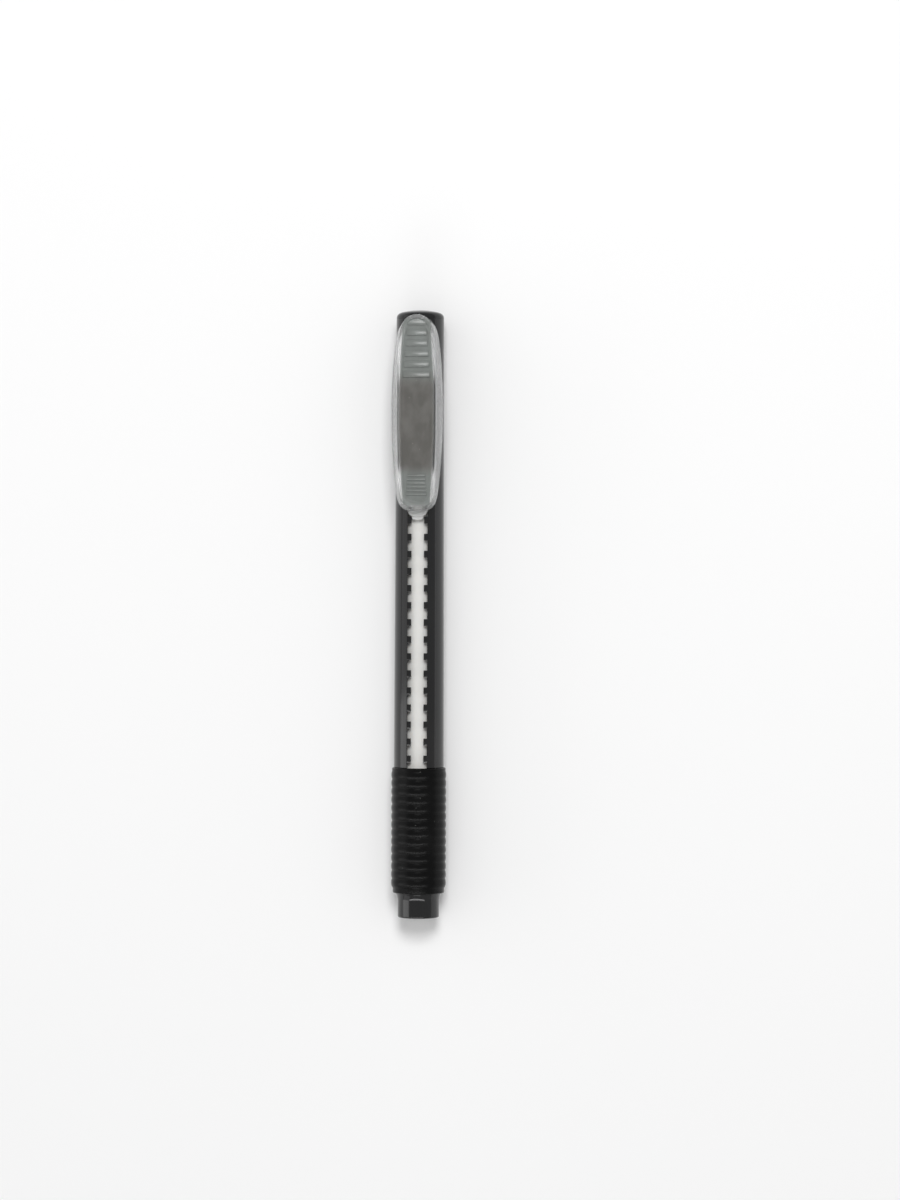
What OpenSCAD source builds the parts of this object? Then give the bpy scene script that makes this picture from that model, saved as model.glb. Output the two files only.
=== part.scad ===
// Click-feed eraser stick. Millimetres.
// Every piece is drawn round the pen's own axis: z is the station, measured from the nose mouth
// towards the tail, and y points up towards the slot and the clip. lay_down() then turns the pen
// so that it lies along Y with its tail towards +Y and its clip up, resting on z = 0.

/* [Pen] */
// Overall length, nose mouth to tail end
pen_len = 125; // [124:0.5:130]
// Barrel diameter beside the grip
barrel_front_d = 10.3; // [10.2:0.05:10.8]
// Barrel diameter at the tail
barrel_tail_d = 9.8; // [9.6:0.05:10]
// Diameter of the barrel under the grip
seat_d = 9.4; // [9.2:0.05:9.6]
// Bore of the barrel, in which the eraser holder slides
barrel_bore_d = 8; // [7.9:0.05:8.1]

/* [Nose] */
// Diameter of the nose collar
nose_d = 8.54; // [8.4:0.02:8.8]
// Length of the nose collar in front of the grip
nose_len = 5.1; // [4.8:0.1:5.6]
// Bore of the nose collar, which steadies the eraser
nose_bore_d = 7; // [6.9:0.02:7.1]

/* [Grip] */
// Diameter over the grip's rings
grip_d = 11.3; // [11.2:0.05:11.6]
// Station of the grip's rear edge
grip_end = 30.9; // [30.9:0.05:31]
// Number of rings
ring_count = 14; // [10:1:16]
// Distance from ring to ring
ring_pitch = 1.706; // [1.4:0.002:1.72]
// Depth of the valleys between the rings
ring_depth = 0.17; // [0.1:0.01:0.3]

/* [Toothed slot] */
// Width between the tooth tips
slot_w = 2.6; // [2.5:0.05:2.8]
// Width at the notches
notch_w = 4.1; // [3.9:0.05:4.3]
// Length of a notch along the pen
notch_len = 2.1; // [2:0.05:2.2]
// Distance from tooth to tooth, which is one click
click = 3.5; // [3.4:0.05:3.6]
// Height of the tooth tops above the pen's axis
tooth_top = 4.32; // [4.2:0.02:4.4]

/* [Eraser] */
// Diameter of the eraser stick
eraser_d = 6.7; // [6.6:0.02:6.72]
// Length of a new eraser stick
eraser_len = 97; // [60:1:97]
// Clicks from fully in to fully out
clicks = 14; // [10:1:14]

/* [Clip] */
// Length of the clip
clip_len = 39.9; // [39:0.1:40.4]
// Width of the clip's face at its widest
clip_face_w = 8.4; // [8.2:0.1:9]
// Width of the clip's flared foot at its widest
clip_foot_w = 10.6; // [10:0.1:10.6]
// Height of the middle of the clip's face above the pen's axis
clip_top = 8.9; // [8.8:0.05:9.1]
// How far the clip's face falls away at both ends
clip_bow = 0.5; // [0.3:0.05:0.6]
// Height of the clip's lower edge above the pen's axis, at the free end
toe_edge = 6.4; // [6.3:0.05:6.5]
// The same at the tail
tail_edge = 5.85; // [5.8:0.05:6]
// Wall thickness of the clip
clip_wall = 0.95; // [0.9:0.05:1.1]

/* [Hidden] */
$fn = 96;
TINY = 0.01;
FAR = 20;

BARREL_R1 = barrel_front_d / 2;
BARREL_R2 = barrel_tail_d / 2;
SEAT_R = seat_d / 2;
BORE_R = barrel_bore_d / 2;
NOSE_R = nose_d / 2;
NOSE_BORE_R = nose_bore_d / 2;
GRIP_R = grip_d / 2;
ERASER_R = eraser_d / 2;

// nose collar: rim rounding, start of the flare, flange, spigot and the lead-ins of its bore
RIM = 0.35;
FLARE_START = 3.4;
FLANGE_R = 4.68;
FLANGE_END = nose_len + 0.9;
SPIGOT_END = 12;
SPIGOT_TAPER = 0.2;
LEAD_IN = 0.3;
LEAD_LEN = 0.4;

// grip: plain front band, first ring crest and the rounded lip at the rear
BAND_R = 5.32;
BAND_END = 6.2;
BAND_CHAMFER = 0.2;
RING_START = 7.2;
RING_STEPS = 6;
LIP_R = GRIP_R - 0.12;
LIP_ROUND = 0.3;

// toothed slot: the notch where the tongue's lugs rest, and the ends of the slot
REST_NOTCH = 83.55;
FIRST_NOTCH = REST_NOTCH - (clicks + 1) * click;
SLOT_START = FIRST_NOTCH - notch_len / 2 - 1.2;
TEETH_END = REST_NOTCH + notch_len / 2 + 0.9;
SHOULDER = 0.1;

// tail plug: its seat on the barrel, the edge and flat of its dome, its spigot and its key
PLUG_SEAT = 123.2;
PLUG_EDGE = 1.1;
PLUG_FLAT_R = 2;
PLUG_CROWN_R = 16;
PLUG_DOME = 0.4;
PLUG_SPIGOT = 2.9;
PLUG_WALL = 1;
KEY_BITE = 0.5;
KEY_SUNK = 0.25;

// eraser holder: collet, stop wall, ribbed spine and the neck that reaches up to the clip
HOLDER_R = BORE_R - 0.08;
COLLET_BORE_R = ERASER_R + 0.03;
COLLET_START = 85.5;
COLLET_LEAD = 0.5;
SLIT_W = 0.7;
SLIT_END = 93.5;
STOP_START = 98.05;
STOP_END = 99.6;
HOLDER_END = 119.4;
SPINE_W = 1.2;
DISC_S = 106;
DISC_LEN = 1;
NECK_W = slot_w - 0.3;
NECK_S = 116;
NECK_LEN = 5;
PIVOT_H = 6.3;
PIVOT_R = 0.7;
PIVOT_HALF = 2.45;
PIVOT_PLAY = 0.04;
EYE_WALL = 0.35;
WAIST_R = 2.2;
WAIST_S = 3.5;
WAIST_DROP = 0.9;

// click tongue: strip, lugs and nose
TONGUE_W = slot_w - 0.3;
TONGUE_LOW = 3.95;
TONGUE_HIGH = 4.72;
TONGUE_END = 96;
TONGUE_NOSE = 81.9;
TONGUE_NOSE_W = 1.5;
TONGUE_TAPER = 0.4;
ROOT_LEN = 5;
ROOT_SINK = 0.15;
LUG_R = 1;
LUG_LOW = 3.85;
LUG_TOP = 5.2;
LUG_HALF = notch_w / 2 - 0.08;
LUG_FRONT = REST_NOTCH - 0.95;
LUG_REAR = REST_NOTCH + 0.95;

// clip: middle station, face recess, ribs, cheeks round the pivot and the bead that grips cloth
CLIP_FRONT = 83.8;
CLIP_MID = CLIP_FRONT + clip_len / 2;
FACE_BOW = 500;
FOOT_BOW = 270;
TAIL_POWER = 11;
TOE_POWER = 22;
OUTLINE_STEPS = 20;
FLARE_POWER = 1.6;
FLANK_STEPS = 4;
FLANK_TOP = 0.92;
EDGE_ROUND = 0.12;
CEILING_DRAW = 0.4;
RIM_W = 0.62;
RECESS = 0.5;
RECESS_SLOPE = 0.45;
PANEL = 0.7;
THUMB_STEPS = 6;
THUMB_START = 110.75;
THUMB_PITCH = 2.15;
THUMB_W1 = 5.5;
THUMB_W2 = 3.8;
THUMB_RISE = 0.3;
THUMB_LEN = 1.34;
THUMB_SUNK = 0.3;
THUMB_CREST = 0.45;
THUMB_ROUND = 0.15;
TOE_RIBS = 6;
TOE_START = 86.95;
TOE_PITCH = 0.77;
TOE_W = 4.2;
TOE_RIB_R = 0.24;
CHEEK_IN = NECK_W / 2 + 0.12;
CHEEK_OUT = PIVOT_HALF + 0.5;
CHEEK_R = 1.1;
ROOT_BITE = 0.15;
BEAD_S = 87.7;
BEAD_LOW = 5.45;
BEAD_R = 0.9;
BEAD_W = 4.4;

// Lays the pen down along Y, clip up, with its lowest ring on z = 0.
module lay_down() {
    translate([0, -pen_len / 2, GRIP_R]) rotate([90, 0, 180]) children();
}

// Turns a profile of [radius, station] points round the pen's axis.
module turned(points) {
    rotate_extrude() polygon(points);
}

// Extrudes a plan drawn as [across, station] from height low to height high.
module plan_cut(low, high) {
    translate([0, high, 0]) rotate([90, 0, 0]) linear_extrude(high - low) children();
}

// A block centred across the pen.
module block(width, low, high, s1, s2) {
    translate([-width / 2, low, s1]) cube([width, high - low, s2 - s1]);
}

// A round bar lying across the pen.
module cross_bar(radius, width, height, station) {
    translate([-width / 2, height, station]) rotate([0, 90, 0]) cylinder(r = radius, h = width);
}

// The plan of the slot: teeth on both sides as far as the rest notch, then plain to the tail.
module slot_plan() {
    translate([-slot_w / 2, SLOT_START]) square([slot_w, PLUG_SEAT - SLOT_START + 1]);
    for (i = [0 : clicks + 1])
        translate([-notch_w / 2, FIRST_NOTCH + i * click - notch_len / 2]) square([notch_w, notch_len]);
}

module barrel() color("#17181a") lay_down() difference() {
    turned([
        [0, FLANGE_END], [SEAT_R, FLANGE_END], [SEAT_R, grip_end],
        [BARREL_R1 - SHOULDER, grip_end], [BARREL_R1, grip_end + SHOULDER],
        [BARREL_R2, PLUG_SEAT], [0, PLUG_SEAT]
    ]);
    translate([0, 0, FLANGE_END - 1]) cylinder(r = BORE_R, h = PLUG_SEAT - FLANGE_END + 2);
    plan_cut(0, FAR) slot_plan();
    // the teeth stand below the barrel's surface, so that the lugs can ride over them
    block(notch_w, tooth_top, FAR, SLOT_START, TEETH_END);
}

module nose_tip() color("#1b1c1e") lay_down() difference() {
    turned([
        [0, 0], [NOSE_R - RIM, 0],
        for (a = [15 : 15 : 75]) [NOSE_R - RIM + RIM * sin(a), RIM - RIM * cos(a)],
        [NOSE_R, RIM], [NOSE_R, FLARE_START],
        for (t = [0.25 : 0.25 : 1])
            [NOSE_R + (FLANGE_R - NOSE_R) * pow(t, 2), FLARE_START + (nose_len - FLARE_START) * t],
        [FLANGE_R, FLANGE_END], [BORE_R, FLANGE_END], [BORE_R, SPIGOT_END - 2 * SPIGOT_TAPER],
        [BORE_R - SPIGOT_TAPER, SPIGOT_END], [0, SPIGOT_END]
    ]);
    translate([0, 0, -1]) cylinder(r = NOSE_BORE_R, h = SPIGOT_END + 2);
    // lead-ins at the mouth and at the rear, for a new stick that is pushed through
    translate([0, 0, -TINY])
        cylinder(r1 = NOSE_BORE_R + LEAD_IN, r2 = NOSE_BORE_R, h = LEAD_LEN);
    translate([0, 0, SPIGOT_END - LEAD_LEN + TINY])
        cylinder(r1 = NOSE_BORE_R, r2 = NOSE_BORE_R + LEAD_IN, h = LEAD_LEN);
}

module grip_sleeve() color("#26282a") lay_down() {
    turned([
        [FLANGE_R, nose_len], [BAND_R - BAND_CHAMFER, nose_len],
        [BAND_R, nose_len + BAND_CHAMFER], [BAND_R, BAND_END],
        for (k = [0 : ring_count * RING_STEPS])
            [GRIP_R - ring_depth * (1 + cos(360 * k / RING_STEPS)) / 2,
            RING_START - ring_pitch / 2 + ring_pitch * k / RING_STEPS],
        for (a = [0 : 30 : 90])
            [LIP_R - LIP_ROUND * (1 - cos(a)), grip_end - LIP_ROUND * (1 - sin(a))],
        [SEAT_R, grip_end], [SEAT_R, FLANGE_END], [FLANGE_R, FLANGE_END]
    ]);
}

// How far the crown of the tail drops from its flat middle out to a radius.
function crown_drop(r) = sqrt(pow(PLUG_CROWN_R, 2) - pow(PLUG_FLAT_R, 2)) - sqrt(pow(PLUG_CROWN_R, 2) - r * r);

module tail_plug() color("#17181a") lay_down() {
    // domed cap with a flat middle
    turned([
        [0, PLUG_SEAT], [BARREL_R2, PLUG_SEAT],
        for (a = [0 : 15 : 75])
            [BARREL_R2 - PLUG_EDGE * (1 - cos(a)), pen_len - PLUG_DOME - PLUG_EDGE * (1 - sin(a))],
        for (r = [PLUG_FLAT_R + 1.4, PLUG_FLAT_R + 0.7, PLUG_FLAT_R]) [r, pen_len - crown_drop(r)],
        [0, pen_len]
    ]);
    // hollow spigot that plugs the bore
    difference() {
        translate([0, 0, PLUG_SEAT - PLUG_SPIGOT]) cylinder(r = BORE_R, h = PLUG_SPIGOT);
        translate([0, 0, PLUG_SEAT - PLUG_SPIGOT - TINY])
            cylinder(r = BORE_R - PLUG_WALL, h = PLUG_SPIGOT + TINY);
    }
    // key that closes the open end of the slot
    block(slot_w, BORE_R - KEY_BITE, BARREL_R2 - KEY_SUNK, PLUG_SEAT - PLUG_SPIGOT, PLUG_SEAT);
}

// Sleeve that grips the rear of the eraser: four fingers in front of a solid stop wall.
module collet() difference() {
    translate([0, 0, COLLET_START]) cylinder(r = HOLDER_R, h = STOP_END - COLLET_START);
    translate([0, 0, COLLET_START - 1]) cylinder(r = COLLET_BORE_R, h = STOP_START - COLLET_START + 1);
    translate([0, 0, COLLET_START - TINY])
        cylinder(r1 = HOLDER_R - 0.15, r2 = COLLET_BORE_R, h = COLLET_LEAD);
    for (a = [45 : 90 : 315])
        rotate([0, 0, a]) block(SLIT_W, 0, FAR, COLLET_START - 1, SLIT_END);
    // flat on which the root of the click tongue sits
    block(TONGUE_W, TONGUE_LOW - ROOT_SINK, FAR, COLLET_START - 1, TONGUE_END);
}

// Cross-shaped spine from the stop wall to the rear, with the discs that steady it in the bore.
module spine() {
    intersection() {
        union() {
            block(SPINE_W, -FAR, FAR, STOP_END - TINY, HOLDER_END);
            block(FAR, -SPINE_W / 2, SPINE_W / 2, STOP_END - TINY, HOLDER_END);
        }
        translate([0, 0, STOP_END - 1]) cylinder(r = HOLDER_R, h = HOLDER_END - STOP_END + 1);
    }
    for (s = [DISC_S, NECK_S - NECK_LEN / 2 - DISC_LEN, HOLDER_END - DISC_LEN])
        translate([0, 0, s]) cylinder(r = HOLDER_R, h = DISC_LEN);
}

// Neck through the slot, waisted towards the pivot on which the clip rocks.
module neck() {
    difference() {
        union() {
            block(NECK_W, 0, PIVOT_H, NECK_S - NECK_LEN / 2, NECK_S + NECK_LEN / 2);
            cross_bar(PIVOT_R + EYE_WALL, NECK_W, PIVOT_H, NECK_S);
        }
        for (side = [-1, 1]) cross_bar(WAIST_R, FAR, PIVOT_H - WAIST_DROP, NECK_S + side * WAIST_S);
    }
    cross_bar(PIVOT_R, 2 * PIVOT_HALF, PIVOT_H, NECK_S);
}

module eraser_holder() color("#c9cfcc", 0.7) lay_down() {
    collet();
    spine();
    neck();
}

// Plan of the tongue: narrow nose, then lugs that widen backwards.
module tongue_plan() {
    right = [
        [TONGUE_NOSE_W / 2, TONGUE_NOSE], [TONGUE_W / 2, TONGUE_NOSE + TONGUE_TAPER],
        [TONGUE_W / 2, LUG_FRONT], [LUG_HALF, REST_NOTCH - 0.1], [LUG_HALF, LUG_REAR]
    ];
    polygon([each right, for (i = [len(right) - 1 : -1 : 0]) [-right[i][0], right[i][1]]]);
}

module click_tongue() color("#d5dad7", 0.7) lay_down() {
    // strip along the slot, and its root seated in the flat on top of the collet
    block(TONGUE_W, TONGUE_LOW, TONGUE_HIGH, LUG_REAR - 0.2, TONGUE_END);
    block(TONGUE_W, TONGUE_LOW - ROOT_SINK, TONGUE_HIGH, TONGUE_END - ROOT_LEN, TONGUE_END);
    // nose, and lugs rounded so that they climb over the teeth
    intersection() {
        plan_cut(LUG_LOW, LUG_TOP) tongue_plan();
        union() {
            cross_bar(LUG_R, FAR, LUG_LOW + LUG_R, REST_NOTCH);
            block(TONGUE_W, TONGUE_LOW, TONGUE_HIGH, TONGUE_NOSE, LUG_REAR);
        }
    }
}

// Height of the clip's face at a station.
function face_h(s) = clip_top - clip_bow * pow((s - CLIP_MID) / (clip_len / 2), 2);

// Height of the clip's lower edge at a station.
function edge_h(s) = toe_edge + (tail_edge - toe_edge) * (s - CLIP_FRONT) / clip_len;

// Half-width of a clip outline, d from its middle: a long bow closed by a rounded end.
function half_width(d, half, bow, reach) =
    (half - d * d / bow) * sqrt(max(0, 1 - pow(abs(d) / reach, d > 0 ? TAIL_POWER : TOE_POWER)));

// Distances from the middle of an outline, closer together towards its rounded ends.
function reach_at(k, reach) = let (t = k / OUTLINE_STEPS, e = 1 - abs(t)) reach * sign(t) * (1 - e * e);

// One closed ring of points round the clip. up goes from 0 at the lower edge to 1 at the face,
// flare widens the ring at the sides, inset draws it in all round and sink lowers it.
function clip_ring(up, flare, inset, sink) = let (
    half = clip_face_w / 2 + flare * (clip_foot_w - clip_face_w) / 2 - inset,
    reach = clip_len / 2 - inset,
    bow = FACE_BOW + flare * (FOOT_BOW - FACE_BOW)
) [for (side = [1, -1]) each [
    for (k = side > 0 ? [-OUTLINE_STEPS : OUTLINE_STEPS] : [OUTLINE_STEPS - 1 : -1 : 1 - OUTLINE_STEPS])
        let (d = reach_at(k, reach), s = CLIP_MID + d)
        [side * half_width(d, half, bow, reach), edge_h(s) + (face_h(s) - edge_h(s)) * up - sink, s]
]];

// Two triangles that close the skin between neighbouring points of two rings.
function skin(a, b, c, d) = [[a, c, b], [a, d, c]];

// Triangles ruled straight across the ring of n points that starts at index o.
function cap(o, n) = [
    [o, o + n - 1, o + 1],
    for (i = [2 : n / 2 - 1]) each skin(o + i - 1, o + i, o + n - i, o + n + 1 - i),
    [o + n / 2 - 1, o + n / 2 + 1, o + n / 2]
];

// The same triangles seen from their other side.
function flipped(faces) = [for (f = faces) [f[0], f[2], f[1]]];

// Skins a stack of clip rings into a closed solid, with both ends ruled straight across.
module loft(rings) {
    n = len(rings[0]);
    last = len(rings) - 1;
    polyhedron(
        points = [for (r = rings) each r],
        faces = [
            each cap(0, n),
            for (j = [0 : last - 1], i = [0 : n - 1])
                each skin(j * n + i, (j + 1) * n + i, (j + 1) * n + (i + 1) % n, j * n + (i + 1) % n),
            each flipped(cap(last * n, n))
        ]
    );
}

// Shell of the clip: flared flanks, rounded rim, hollow underside and recessed panel.
module clip_shell() {
    difference() {
        loft([
            for (k = [0 : FLANK_STEPS])
                let (t = k / FLANK_STEPS) clip_ring(FLANK_TOP * t, pow(1 - 0.8 * t, FLARE_POWER), 0, 0),
            clip_ring(1, 0, 0, EDGE_ROUND),
            clip_ring(1, 0, EDGE_ROUND, EDGE_ROUND / 6),
            clip_ring(1, 0, 2.5 * EDGE_ROUND, 0)
        ]);
        loft([
            clip_ring(-0.1, 1.05, clip_wall, 0),
            clip_ring(0.25, pow(0.75, FLARE_POWER), clip_wall, 0),
            clip_ring(1, 0, clip_wall + CEILING_DRAW, RECESS + PANEL)
        ]);
        loft([
            clip_ring(1, 0, RIM_W + RECESS_SLOPE, RECESS),
            clip_ring(1, 0, RIM_W + RECESS_SLOPE / 3, RECESS * 0.6),
            clip_ring(1, 0, RIM_W, 0),
            clip_ring(1, 0, RIM_W, -0.2)
        ]);
    }
}

// Thumb steps: wedges that rise towards the tail, narrowing with the panel.
module thumb_steps() {
    for (i = [0 : THUMB_STEPS - 1]) {
        s = THUMB_START + i * THUMB_PITCH;
        width = THUMB_W1 + (THUMB_W2 - THUMB_W1) * i / (THUMB_STEPS - 1);
        panel_h = face_h(s + THUMB_PITCH / 2) - RECESS;
        translate([-width / 2, 0, 0]) rotate([0, 90, 0]) mirror([1, 0, 0]) linear_extrude(width)
            polygon([
                [s, panel_h - THUMB_SUNK], [s + THUMB_LEN, panel_h - THUMB_SUNK],
                [s + THUMB_LEN, panel_h + THUMB_RISE / 5], [s + THUMB_CREST, panel_h + THUMB_RISE],
                [s + THUMB_ROUND, panel_h + THUMB_RISE], [s, panel_h + THUMB_RISE - THUMB_ROUND]
            ]);
    }
}

// Fine ribs over the free end.
module toe_ribs() {
    for (i = [0 : TOE_RIBS - 1]) {
        s = TOE_START + i * TOE_PITCH;
        cross_bar(TOE_RIB_R, TOE_W, face_h(s) - RECESS - 0.03, s);
    }
}

// Cheeks that hang from the panel on both sides of the neck, and the bead that grips cloth.
module clip_underside() {
    cheek_w = CHEEK_OUT - CHEEK_IN;
    cheek_top = face_h(NECK_S) - RECESS - PANEL + ROOT_BITE;
    bead_top = face_h(BEAD_S) - RECESS - PANEL + ROOT_BITE;
    for (side = [0, 1]) mirror([side, 0, 0]) translate([CHEEK_IN, 0, 0]) {
        translate([0, PIVOT_H, NECK_S]) rotate([0, 90, 0]) cylinder(r = CHEEK_R, h = cheek_w);
        translate([0, PIVOT_H, NECK_S - CHEEK_R]) cube([cheek_w, cheek_top - PIVOT_H, 2 * CHEEK_R]);
    }
    cross_bar(BEAD_R, BEAD_W, BEAD_LOW + BEAD_R, BEAD_S);
    block(BEAD_W, BEAD_LOW + BEAD_R, bead_top, BEAD_S - BEAD_R, BEAD_S + BEAD_R);
}

module clip() color("#8d918f", 0.75) lay_down() difference() {
    union() {
        clip_shell();
        thumb_steps();
        toe_ribs();
        clip_underside();
    }
    cross_bar(PIVOT_R + PIVOT_PLAY, 2 * PIVOT_HALF + 0.1, PIVOT_H, NECK_S);
}

module eraser_stick() color("#f2f1ec") lay_down() {
    start = STOP_START - 0.05 - eraser_len;
    turned([
        [0, start], [ERASER_R - 0.25, start], [ERASER_R, start + 0.25],
        [ERASER_R, start + eraser_len], [0, start + eraser_len]
    ]);
}

barrel();
nose_tip();
grip_sleeve();
tail_plug();
eraser_holder();
click_tongue();
clip();
eraser_stick();
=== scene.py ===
"""Looks of a click-feed eraser stick, modelled round its packed construction.

Lengths are in millimetres until a modelling tool turns them into metres. A station is a distance
along the stick from the mouth of its nose, and a height is measured from the stick's own axis.
The stick lies along Y with its tail towards +Y and its clip up.
"""

import logging
import math
from dataclasses import dataclass
from enum import Enum
from functools import partialmethod
from typing import Callable, Iterable, Sequence

import bmesh
import bpy
from mathutils import Matrix, Vector


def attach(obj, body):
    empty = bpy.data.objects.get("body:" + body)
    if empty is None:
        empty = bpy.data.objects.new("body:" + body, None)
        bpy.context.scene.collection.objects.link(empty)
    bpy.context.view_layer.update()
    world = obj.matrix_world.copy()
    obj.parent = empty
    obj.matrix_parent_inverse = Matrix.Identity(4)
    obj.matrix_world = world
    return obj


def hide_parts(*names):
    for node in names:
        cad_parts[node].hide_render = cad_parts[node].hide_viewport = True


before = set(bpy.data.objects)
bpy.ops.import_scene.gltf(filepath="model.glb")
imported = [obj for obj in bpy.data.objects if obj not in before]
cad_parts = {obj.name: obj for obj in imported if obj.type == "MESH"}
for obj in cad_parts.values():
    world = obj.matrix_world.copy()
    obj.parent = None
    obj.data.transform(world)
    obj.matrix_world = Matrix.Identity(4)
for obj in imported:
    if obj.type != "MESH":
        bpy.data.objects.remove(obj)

LOG = logging.getLogger("eraser_stick")
MM = 0.001
# Places less than CLOSE apart count as one, and vertices less than MERGE apart are merged, in metres
CLOSE = 1e-6
MERGE = 1e-7
FLAT_ANGLE = math.radians(30)

Colour = tuple[float, float, float]
Profile = Sequence[tuple[float, float]]
Point = tuple[float, float, float]
Solid = bpy.types.Object
Socket = bpy.types.NodeSocket


class Body(Enum):
    """The moving groups of the construction."""

    PEN = "pen_body"
    CARRIAGE = "carriage"
    CLIP = "pocket_clip"
    REFILL = "refill"


class Slot(Enum):
    """The record's material slots."""

    BARREL = "barrel_plastic"
    NOSE = "nose_plastic"
    GRIP = "grip_rubber"
    HOLDER = "holder_plastic"
    CLIP = "clip_plastic"
    ERASER = "eraser_vinyl"


class Cut(Enum):
    """What one solid does to another."""

    REMOVE = "DIFFERENCE"
    ADD = "UNION"
    KEEP_COMMON = "INTERSECT"


class Role(Enum):
    """What a lamp does."""

    LIGHT = "lights without being mirrored"
    SHINE = "is mirrored without lighting"
    BOTH = "lights and is mirrored"


@dataclass(frozen=True)
class Lay:
    """How the stick lies: its length, and the height of its axis over the floor."""

    length: float = 125.0
    axis_height: float = 5.65

    def point(self, across: float, station: float, height: float) -> Point:
        """Returns a place on the stick in metres, as the construction has it."""
        return (across * MM, (station - self.length / 2) * MM, (self.axis_height + height) * MM)


LAY = Lay()


def deselect() -> None:
    """Leaves edit mode and deselects every object."""
    if bpy.context.mode != "OBJECT":
        bpy.ops.object.mode_set(mode="OBJECT")
    bpy.ops.object.select_all(action="DESELECT")


def take(piece: Solid) -> None:
    """Makes a piece the only selected one, and the active one."""
    deselect()
    piece.select_set(True)
    bpy.context.view_layer.objects.active = piece


def edit(piece: Solid, action: str = "DESELECT") -> bmesh.types.BMesh:
    """Opens a piece in edit mode.

    Args:
        piece: The mesh object to open.
        action: "DESELECT" to have nothing selected in it, "SELECT" to have everything.

    Returns:
        Its edit mesh, in which faces, edges and vertices can be selected.
    """
    if bpy.context.mode != "EDIT_MESH":
        take(piece)
        bpy.ops.object.mode_set(mode="EDIT")
    bpy.ops.mesh.select_all(action=action)
    return bmesh.from_edit_mesh(piece.data)


def select(piece: Solid, kind: str, test: Callable[..., bool]) -> None:
    """Selects the faces, edges or vertices of an open piece that pass a test.

    Args:
        piece: The mesh object, which is in edit mode afterwards.
        kind: "FACE", "EDGE" or "VERT".
        test: Takes a face, an edge or a vertex and says whether to select it.
    """
    mesh = edit(piece)
    bpy.ops.mesh.select_mode(type=kind)
    items = {"FACE": mesh.faces, "EDGE": mesh.edges, "VERT": mesh.verts}[kind]
    for item in [item for item in items if test(item)]:
        item.select_set(True)
    bmesh.update_edit_mesh(piece.data)


def settle(piece: Solid) -> None:
    """Closes edit mode and moves a piece's place, turn and size into its mesh."""
    take(piece)
    bpy.ops.object.transform_apply()


def face_outwards(piece: Solid) -> None:
    """Merges a piece's doubled vertices and turns all its faces outwards."""
    edit(piece, "SELECT")
    bpy.ops.mesh.remove_doubles(threshold=MERGE)
    bpy.ops.mesh.normals_make_consistent(inside=False)
    deselect()


def smooth(piece: Solid, angle: float = FLAT_ANGLE) -> Solid:
    """Shades a piece smooth wherever its faces meet at less than an angle, and returns it."""
    take(piece)
    bpy.ops.object.shade_smooth_by_angle(angle=angle)
    return piece


def apply_modifier(piece: Solid, kind: str, **settings: object) -> None:
    """Adds a modifier to a piece with its settings, and applies it."""
    take(piece)
    modifier = piece.modifiers.new(kind.lower(), kind)
    for key, value in settings.items():
        setattr(modifier, key, value)
    bpy.ops.object.modifier_apply(modifier=modifier.name)


def combine(piece: Solid, tools: Iterable[Solid], cut: Cut) -> None:
    """Cuts a piece with tools or joins them to it, and deletes the tools.

    Args:
        piece: The solid that stays.
        tools: Closed solids.
        cut: What the tools do to the piece.
    """
    for tool in tools:
        apply_modifier(piece, "BOOLEAN", object=tool, operation=cut.value, solver="EXACT")
        bpy.data.objects.remove(tool, do_unlink=True)


def ease_edges(piece: Solid, radius: float, steps: int = 2) -> None:
    """Rounds all of a piece's sharp edges by a radius in millimetres."""
    apply_modifier(
        piece, "BEVEL", width=radius * MM, segments=steps, limit_method="ANGLE", angle_limit=FLAT_ANGLE,
        use_clamp_overlap=True, miter_outer="MITER_ARC",
    )


def bevel_front(piece: Solid, front: float, **bevel: object) -> None:
    """Bevels the two upright edges of a block's front, given the station of that front."""
    limit = LAY.point(0, front, 0)[1] + CLOSE
    select(piece, "EDGE", lambda edge: (
        all(v.co.y < limit for v in edge.verts) and abs(edge.verts[0].co.x - edge.verts[1].co.x) < CLOSE
    ))
    bpy.ops.mesh.bevel(affect="EDGES", **bevel)
    deselect()


def draw_out(across: float, along: float) -> None:
    """Draws the selected edges out across the stick and along it, in millimetres."""
    bpy.ops.mesh.extrude_edges_move(TRANSFORM_OT_translate={"value": (across * MM, along * MM, 0)})


def turn_profile(name: str, profile: Profile, sides: int, hollow: bool) -> Solid:
    """Turns a profile round the stick's axis, one ring after the other.

    Args:
        name: Name of the new piece.
        profile: Radii and stations in order, none of radius zero.
        sides: How many sides the rings have.
        hollow: Whether the profile goes round a wall and closes on itself. If not, both ends get
            a flat face.

    Returns:
        The piece, closed and with its faces outwards.
    """
    deselect()
    radius, station = profile[0]
    bpy.ops.mesh.primitive_circle_add(
        vertices=sides, radius=radius * MM, enter_editmode=True, location=LAY.point(0, station, 0),
        rotation=(math.pi / 2, 0, 0),
    )
    piece = bpy.context.object
    piece.name = name
    if not hollow:
        bpy.ops.mesh.edge_face_add()
        bpy.ops.mesh.select_mode(type="EDGE")
    for next_radius, next_station in list(profile[1:]) + ([profile[0]] if hollow else []):
        draw_out(0, next_station - station)
        if next_radius != radius:
            bpy.ops.transform.resize(
                value=(next_radius / radius, 1, next_radius / radius), orient_type="GLOBAL",
                center_override=LAY.point(0, next_station, 0),
            )
        radius, station = next_radius, next_station
    if not hollow:
        bpy.ops.mesh.edge_face_add()
    settle(piece)
    face_outwards(piece)
    return piece


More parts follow.
